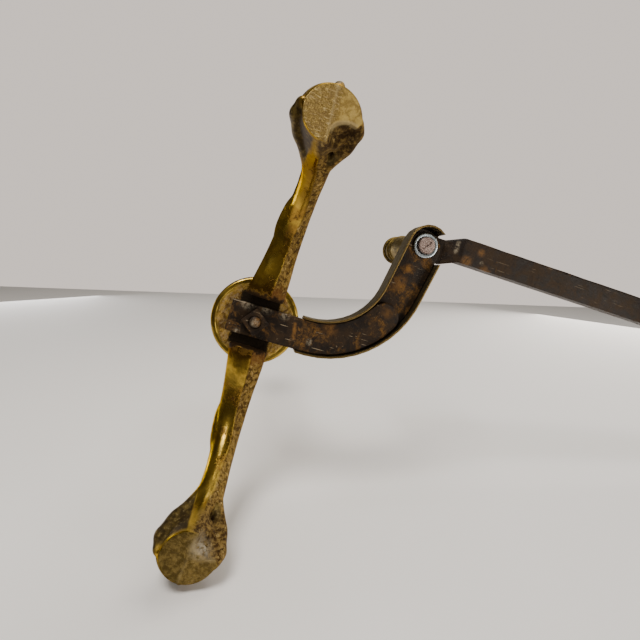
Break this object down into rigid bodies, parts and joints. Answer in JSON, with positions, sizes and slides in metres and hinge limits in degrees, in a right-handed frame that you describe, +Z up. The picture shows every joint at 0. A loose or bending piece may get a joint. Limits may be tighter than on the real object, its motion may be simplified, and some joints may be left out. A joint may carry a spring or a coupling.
{
  "type": "andiron",
  "caption": "Brass andiron with a turned column, cabriole claw-and-ball legs, a curved side arm with a log stop, and an iron billet bar to the rear foot.",
  "frame": {"origin": "on the hearth, under the middle of the whole object's box", "axes": "+Z up, +Y back from the column into the fire along the billet bar, +X towards the side that the arm curves to"},
  "size_m": [0.3464, 0.4684, 0.3908],
  "materials": {
    "polished_brass": "worn polish with brown patina",
    "aged_brass": "dull olive-brown patina",
    "wrought_iron": "dark brown with rust and scratches",
    "zinc_plate": "bright zinc plate",
    "worn_steel": "scratched, brownish steel"
  },
  "bodies": {
    "standard": {"base_disc": "polished_brass", "leg_right": "polished_brass", "leg_left": "polished_brass", "column_collar": "polished_brass", "column_vase": "polished_brass", "column_shaft": "polished_brass", "column_capital": "polished_brass", "finial_ball": "polished_brass", "finial_tip": "polished_brass", "tie_rod": "wrought_iron", "square_nut": "wrought_iron", "hub_strap": "wrought_iron", "bolt_strap": "wrought_iron", "strap_rivet_front": "wrought_iron", "strap_rivet_rear": "wrought_iron", "arm_shell": "aged_brass"},
    "bar": {"billet_bar": "wrought_iron"},
    "log_stop": {"log_stop_base": "polished_brass", "log_stop_post": "polished_brass", "log_stop_cap": "polished_brass", "log_stop_bolt": "worn_steel", "log_stop_washer": "zinc_plate"}
  },
  "joints": [
    {"name": "bar_swivel", "type": "hinge", "parent": "standard", "child": "bar", "pos_m": [0.10293, -0.07756, 0.1078], "axis": [0, 0, 1], "range_deg": [-4, 4]},
    {"name": "log_stop_turn", "type": "hinge", "parent": "standard", "child": "log_stop", "pos_m": [0.10293, -0.07756, 0.1124], "axis": [0, 0, 1], "continuous": true}
  ]
}
